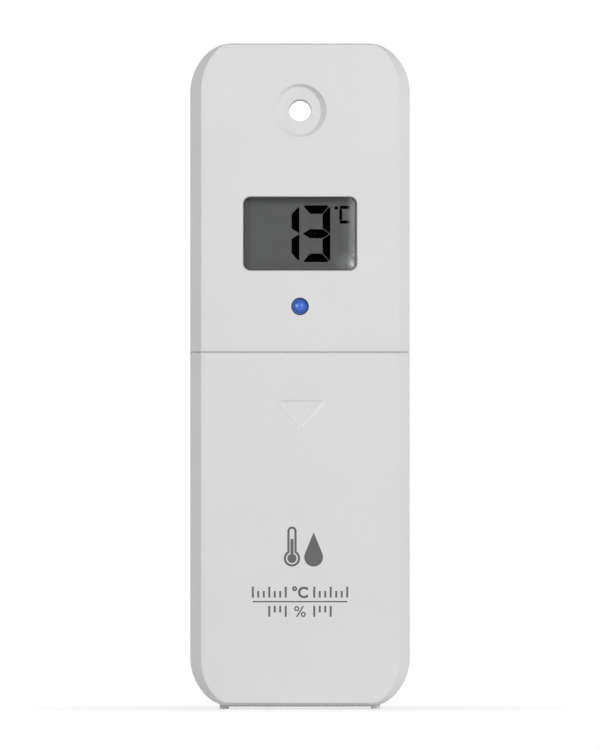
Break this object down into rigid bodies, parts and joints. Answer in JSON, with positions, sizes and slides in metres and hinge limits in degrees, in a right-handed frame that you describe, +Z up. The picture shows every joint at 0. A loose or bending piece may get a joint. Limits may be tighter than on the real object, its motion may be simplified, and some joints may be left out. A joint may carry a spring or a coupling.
{
  "type": "wireless temperature and humidity sensor",
  "caption": "Flat upright wireless weather sensor with a small display, signal lamp, hanging hole and a cover that slides down over its cells.",
  "frame": {"origin": "under the middle of the case, on the plane that the two feet stand on, midway between the front face and the back face", "axes": "+Z up along the case, the display faces -Y, +X to the right as seen from the display side"},
  "size_m": [0.04, 0.021, 0.1213],
  "materials": {
    "case_plastic": "fine satin moulded",
    "cover_plastic": "fine satin moulded",
    "clear_window": "polished clear acrylic",
    "display_film": "semi-clear grey film",
    "display_glass": "polished",
    "reflector_film": "satin grey film",
    "inner_plastic": "satin",
    "contact_rubber": "matt",
    "board_laminate": "satin solder mask",
    "chip_resin": "matt",
    "shield_tin": "satin",
    "bright_contact": "bright nickel",
    "cell_can": "bright nickel plate",
    "lamp_resin": "polished tinted resin",
    "button_plastic": "satin",
    "cell_sleeve": "glossy film",
    "screw_steel": "bright zinc"
  },
  "bodies": {
    "case": {"rear_case": "case_plastic", "front_case": "case_plastic", "display_window": "clear_window", "display_polariser": "display_film", "display_glass": "display_glass", "display_reflector": "reflector_film", "display_frame": "inner_plastic", "zebra_strips": "contact_rubber", "circuit_board": "board_laminate", "controller_chip": "chip_resin", "radio_module": "shield_tin", "timing_crystal": "shield_tin", "capacitors": "chip_resin", "antenna_coil": "bright_contact", "status_lamp": "lamp_resin", "sensor_board": "board_laminate", "sensor_header": "chip_resin", "humidity_sensor": "inner_plastic", "transmit_switch": "chip_resin", "unit_switch": "chip_resin", "battery_cell_left": "cell_can", "battery_cell_right": "cell_can", "battery_sleeve_left": "cell_sleeve", "battery_sleeve_right": "cell_sleeve", "bottom_link_contact": "bright_contact", "bottom_spring": "bright_contact", "top_plate_contact": "bright_contact", "top_spring_contact": "bright_contact", "top_spring": "bright_contact", "case_screws": "screw_steel", "board_screws": "screw_steel"},
    "battery_cover": {"battery_cover": "cover_plastic"},
    "transmit_button": {"transmit_button": "button_plastic"},
    "unit_button": {"unit_button": "button_plastic"}
  },
  "joints": [
    {"name": "battery_cover_slide", "type": "slide", "parent": "case", "child": "battery_cover", "axis": [0, 0, -1], "range_m": [0, 0.066]},
    {"name": "transmit_button_press", "type": "slide", "parent": "case", "child": "transmit_button", "axis": [0, 1, 0], "range_m": [0, 0.00035], "stiffness_N_per_m": 500, "springref_m": -0.0005},
    {"name": "unit_button_press", "type": "slide", "parent": "case", "child": "unit_button", "axis": [0, 1, 0], "range_m": [0, 0.00035], "stiffness_N_per_m": 500, "springref_m": -0.0005}
  ]
}
